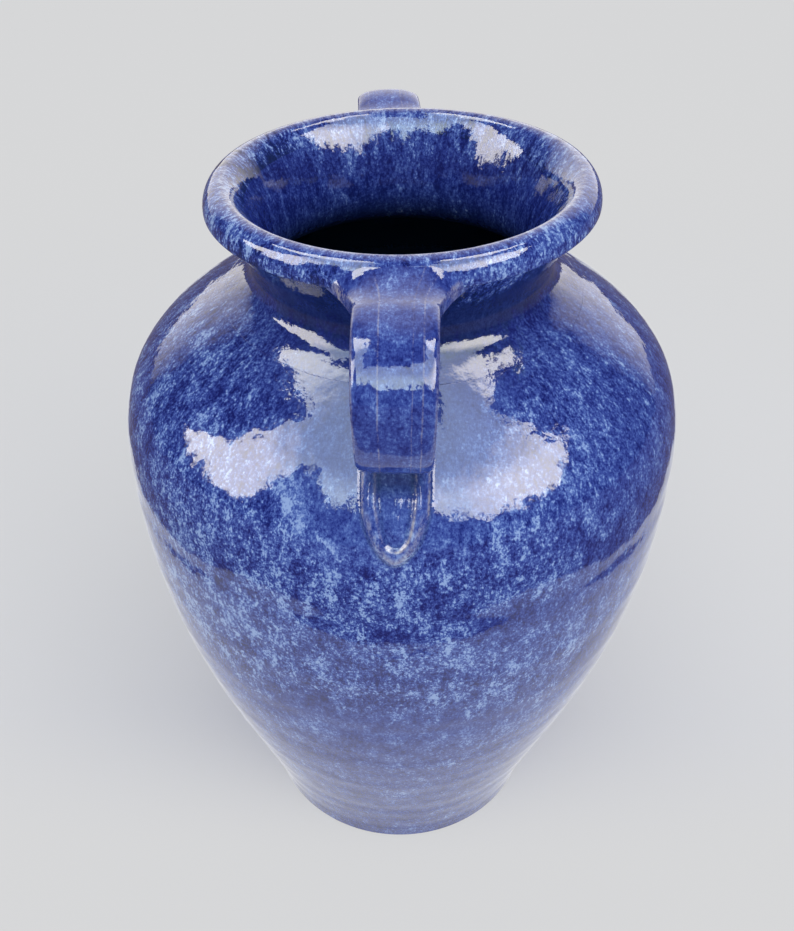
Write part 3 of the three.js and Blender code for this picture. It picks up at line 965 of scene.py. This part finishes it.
# the studio beyond the pale sheet is dark, which only reflections show
beyond = add(floorTree, "ShaderNodeEmission")
beyond.inputs["Color"].default_value = room["darkFloor"]
floorPlace = add(floorTree, "ShaderNodeTexCoord")
floorAxes = add(floorTree, "ShaderNodeSeparateXYZ")
floorTree.links.new(floorPlace.outputs["Object"], floorAxes.inputs[0])
pastFront = math2(floorTree, "SUBTRACT", math2(floorTree, "MULTIPLY", floorAxes.outputs[1], -1.0),
                  room["sheetFront"])
pastSide = math2(floorTree, "SUBTRACT", math2(floorTree, "ABSOLUTE", floorAxes.outputs[0]),
                 room["sheetSide"])
past = math2(floorTree, "SMOOTH_MAX", pastFront, pastSide, room["sheetCorner"])
past = math2(floorTree, "DIVIDE", past, room["sheetSoft"], clamp=True)
rays = add(floorTree, "ShaderNodeLightPath")
dark = math2(floorTree, "MULTIPLY", past, rays.outputs["Is Glossy Ray"])
# a level, pale look of the sheet, laid over its own shading
even = add(floorTree, "ShaderNodeEmission")
even.inputs["Color"].default_value = room["floorSeen"]
brighter = math2(floorTree, "MULTIPLY_ADD", rays.outputs["Is Glossy Ray"], room["mirroredLift"], 1.0)
floorTree.links.new(brighter, even.inputs["Strength"])
# beside and behind the foot the sheet keeps the vase's shadow, in front of it and far off it is level
farOff = add(floorTree, "ShaderNodeVectorMath", operation="LENGTH")
floorTree.links.new(floorPlace.outputs["Object"], farOff.inputs[0])
evenNear = eased(floorTree, floorAxes.outputs[1], *room["shadowFront"],
                 room["evenBehind"], room["evenFront"])
evenFar = eased(floorTree, farOff.outputs["Value"], *room["shadowReach"], 0.0, room["evenFront"])
evenSeen = math2(floorTree, "MULTIPLY", rays.outputs["Is Camera Ray"],
                 math2(floorTree, "MAXIMUM", evenNear, evenFar))
evenMirrored = math2(floorTree, "MULTIPLY", rays.outputs["Is Glossy Ray"], room["evenMirrored"])
lifted = add(floorTree, "ShaderNodeMixShader")
floorTree.links.new(math2(floorTree, "MAXIMUM", evenSeen, evenMirrored), lifted.inputs[0])
floorTree.links.new(floorShader.outputs[0], lifted.inputs[1])
floorTree.links.new(even.outputs[0], lifted.inputs[2])
mixed = add(floorTree, "ShaderNodeMixShader")
floorTree.links.new(dark, mixed.inputs[0])
floorTree.links.new(lifted.outputs[0], mixed.inputs[1])
floorTree.links.new(beyond.outputs[0], mixed.inputs[2])
floorOut = add(floorTree, "ShaderNodeOutputMaterial")
floorTree.links.new(mixed.outputs[0], floorOut.inputs[0])
floor.data.materials.append(floorMaterial)

# the opening that the gloss mirrors, in degrees: turn round the vase, its lowest and
# highest angle, and the angle from which the bright ceiling shows above it
opening = {
    "outline": [
        (-118, 20, 20, 115), (-112, 20, 20, 46), (-100, 20, 20, 52), (-96, 12, 25, 54), (-86, 11, 34, 58),
        (-80, 9, 46, 60), (-74, 9, 60, 57), (-62, 10, 64, 60), (-58, 24, 68, 60), (-56, 43, 70, 60),
        (-46, 45, 72, 62), (-36, 37, 72, 66), (-30, 34, 66, 115), (-22, 33, 61, 115), (-9, 30, 63, 115),
        (2, 29, 66, 115), (18, 29, 68, 115), (25, 25, 70, 115), (33, 22, 72, 66), (46, 22, 71, 62),
        (66, 23, 63, 58), (76, 29, 56, 60), (87, 36, 42, 60), (94, 36, 36, 59), (104, 36, 36, 53),
        (110, 36, 36, 48), (116, 36, 36, 115)],
    "top": {"level": 69.0, "rise": 12.0, "from": 39.6, "over": 12.0},
    "glowLow": [
        (-96, (10.4, 10.0, 9.0)), (-62, (10.4, 10.1, 9.4)), (-52, (6.6, 7.8, 7.5)),
        (-20, (6.4, 7.6, 7.2)), (9, (5.6, 7.0, 6.9)), (14, (10.5, 10.3, 9.6)),
        (22, (7.4, 8.1, 7.6)), (36, (9.5, 9.5, 8.9)),
        (50, (12.0, 11.6, 10.3)), (75, (11.5, 11.2, 10.0)), (90, (8.6, 8.5, 8.2))],
    "glowHigh": [
        (-100, (10.8, 10.9, 9.8)), (-84, (8.4, 8.9, 8.4)), (-72, (3.8, 4.4, 4.6)),
        (-60, (3.2, 3.9, 4.2)), (50, (3.4, 4.0, 4.2)), (74, (3.0, 3.4, 3.6)),
        (86, (11.2, 10.9, 9.7)), (110, (11.2, 10.9, 9.7))],
    "tear": 22.0,
    "skyline": 7.0,
    "towers": 6.0,
    "towersWithin": 24.0,
    "towersFade": 4.0,
    "step": 1.7,
    "soft": 0.8,
    "most": 12.0,
    "highFrom": 42.0,
    "highOver": 14.0,
    "behind": (1.15, 1.12, 1.2),
    "behindLow": (2.1, 2.0, 1.8),
    "behindSlant": 0.7,
    "behindFrom": -0.03,
    "behindSoft": 2.2,
    "behindLowTo": 44.0,
    "behindLowOver": 20.0,
    "skySeen": (0.66, 0.665, 0.68, 1),
    "skyFill": (0.97, 0.98, 1.0, 1),
}


def turnShare(turn):
    return (turn + 180) / 360


def studioWorld():
    world = bpy.data.worlds.new("studioWorld")
    bpy.context.scene.world = world
    world.use_nodes = True
    tree = world.node_tree
    for node in list(tree.nodes):
        tree.nodes.remove(node)
    link = tree.links.new
    o = opening
    out = add(tree, "ShaderNodeOutputWorld")
    rays = add(tree, "ShaderNodeLightPath")
    around = add(tree, "ShaderNodeTexCoord")
    axes = add(tree, "ShaderNodeSeparateXYZ")
    link(around.outputs["Generated"], axes.inputs[0])
    up = math2(tree, "DEGREES", math2(tree, "ARCSINE", axes.outputs[2]))
    front = math2(tree, "MULTIPLY", axes.outputs[1], -1.0)
    turn = math2(tree, "DEGREES", math2(tree, "ARCTAN2", axes.outputs[0], front))
    torn = add(tree, "ShaderNodeTexNoise", in_Scale=7.0, in_Detail=6.0, in_Roughness=0.75)
    link(around.outputs["Generated"], torn.inputs["Vector"])
    tear = math2(tree, "MULTIPLY_ADD", torn.outputs[0], o["tear"], -0.5 * o["tear"])
    house = add(tree, "ShaderNodeTexWhiteNoise", noise_dimensions="1D")
    link(math2(tree, "FLOOR", math2(tree, "DIVIDE", turn, o["step"])), house.inputs["W"])
    share = math2(tree, "DIVIDE", math2(tree, "ADD", math2(tree, "ADD", turn, tear), 180.0), 360.0)
    scale = 120.0  # the ramp holds the angles as shares of this
    limits = ramp(tree, share, [(turnShare(t), (low / scale, high / scale, sky / scale, 1))
                                for t, low, high, sky in o["outline"]])
    split = add(tree, "ShaderNodeSeparateColor")
    link(limits, split.inputs[0])
    low, high, sky = (math2(tree, "MULTIPLY", socket, scale) for socket in split.outputs[:3])
    aside = math2(tree, "ABSOLUTE", turn)
    taller = math2(tree, "MULTIPLY_ADD", aside, -1 / o["towersFade"], o["towersWithin"] / o["towersFade"],
                   clamp=True)
    houses = math2(tree, "MULTIPLY_ADD", taller, o["towers"], o["skyline"])
    low = math2(tree, "MULTIPLY_ADD", house.outputs["Value"], houses, low)
    upTorn = math2(tree, "ADD", up, tear)
    above = math2(tree, "DIVIDE", math2(tree, "SUBTRACT", upTorn, low), o["soft"], clamp=True)
    below = math2(tree, "DIVIDE", math2(tree, "SUBTRACT", high, upTorn), o["soft"], clamp=True)
    ceiling = math2(tree, "DIVIDE", math2(tree, "SUBTRACT", upTorn, sky), o["soft"], clamp=True)
    risen = math2(tree, "MULTIPLY_ADD", aside, 1 / o["top"]["over"], -o["top"]["from"] / o["top"]["over"],
                  clamp=True)
    top = math2(tree, "MULTIPLY_ADD", risen, o["top"]["rise"], o["top"]["level"])
    ceiling = math2(tree, "MULTIPLY", ceiling, math2(tree, "SUBTRACT", top, up, clamp=True))
    inOpening = math2(tree, "MAXIMUM", math2(tree, "MULTIPLY", above, below), ceiling)
    most = o["most"]
    glowLow, glowHigh = (
        ramp(tree, share, [(turnShare(t), (r / most, g / most, b / most, 1)) for t, (r, g, b) in o[side]])
        for side in ("glowLow", "glowHigh"))
    raised = math2(tree, "MULTIPLY_ADD", up, 1 / o["highOver"], -o["highFrom"] / o["highOver"],
                   clamp=True)
    glow = blendColour(tree, raised, glowLow, glowHigh)
    # towards the back the gloss mirrors something paler, palest low down
    beside = math2(tree, "MULTIPLY_ADD", math2(tree, "ABSOLUTE", axes.outputs[0]), o["behindSlant"],
                   o["behindFrom"])
    behind = math2(tree, "MULTIPLY", math2(tree, "SUBTRACT", axes.outputs[1], beside), o["behindSoft"],
                   clamp=True)
    rest = blendColour(tree, behind, grey(room["darkGloss"]), (*o["behind"], 1))
    fallen = math2(tree, "MULTIPLY_ADD", up, -1 / o["behindLowOver"],
                   o["behindLowTo"] / o["behindLowOver"], clamp=True)
    rest = blendColour(tree, math2(tree, "MULTIPLY", behind, fallen), rest, (*o["behindLow"], 1))
    bright = add(tree, "ShaderNodeBackground", in_Strength=most)
    link(glow, bright.inputs["Color"])
    dim = add(tree, "ShaderNodeBackground", in_Strength=1.0)
    link(rest, dim.inputs["Color"])
    mirrored = add(tree, "ShaderNodeMixShader")
    link(inOpening, mirrored.inputs[0])
    link(dim.outputs[0], mirrored.inputs[1])
    link(bright.outputs[0], mirrored.inputs[2])
    plain = add(tree, "ShaderNodeBackground", in_Strength=room["fill"])
    plain.inputs["Color"].default_value = o["skyFill"]
    seen = add(tree, "ShaderNodeBackground", in_Strength=1.0)
    seen.inputs["Color"].default_value = o["skySeen"]
    first = add(tree, "ShaderNodeMixShader")
    link(rays.outputs["Is Camera Ray"], first.inputs[0])
    link(plain.outputs[0], first.inputs[1])
    link(seen.outputs[0], first.inputs[2])
    second = add(tree, "ShaderNodeMixShader")
    link(rays.outputs["Is Glossy Ray"], second.inputs[0])
    link(first.outputs[0], second.inputs[1])
    link(mirrored.outputs[0], second.inputs[2])
    link(second.outputs[0], out.inputs[0])


studioWorld()

# the soft lamp stands behind the camera, up to the right
lamp = {"turn": 20.0, "up": 55.0, "away": 2.2, "width": 2.6, "height": 1.9, "glow": 1.3,
        "colour": (1, 0.99, 0.98), "aim": (0, 0, 0.28)}
lampData = bpy.data.lights.new("softLamp", "AREA")
lampData.shape = "RECTANGLE"
lampData.size = lamp["width"]
lampData.size_y = lamp["height"]
lampData.color = lamp["colour"]
lampData.energy = lamp["glow"] * math.pi * lamp["width"] * lamp["height"]
softLamp = bpy.data.objects.new("softLamp", lampData)
bpy.context.scene.collection.objects.link(softLamp)
lampTurn = math.radians(lamp["turn"])
lampUp = math.radians(lamp["up"])
away = Vector((math.sin(lampTurn) * math.cos(lampUp), -math.cos(lampTurn) * math.cos(lampUp),
               math.sin(lampUp)))
softLamp.location = Vector(lamp["aim"]) + away * lamp["away"]
softLamp.rotation_euler = away.to_track_quat("Z", "Y").to_euler()
softLamp.visible_camera = False
softLamp.visible_glossy = False

# the camera: sensor in millimetres, focal length and frame in pixels, place in metres, angles in degrees
view = {"sensor": 36.0, "focal": 1050.0, "width": 794.0, "height": 931.0,
        "centreX": 402.0, "centreY": 458.6,
        "distance": 0.3922, "up": 0.5281, "down": 39.1, "turn": 1.2}
cameraData = bpy.data.cameras.new("photoCamera")
cameraData.sensor_width = view["sensor"]
cameraData.lens = view["focal"] * view["sensor"] / view["height"]
cameraData.shift_x = (view["width"] / 2 - view["centreX"]) / view["height"]
cameraData.shift_y = -(view["height"] / 2 - view["centreY"]) / view["height"]
cameraData.clip_start = 0.01
camera = bpy.data.objects.new("photoCamera", cameraData)
bpy.context.scene.collection.objects.link(camera)
turn = math.radians(view["turn"])
camera.location = (view["distance"] * math.sin(turn), -view["distance"] * math.cos(turn), view["up"])
camera.rotation_euler = (math.radians(90 - view["down"]), 0, turn)
bpy.context.scene.camera = camera
bpy.context.scene.view_settings.view_transform = "Standard"
print("stage, light and camera set")
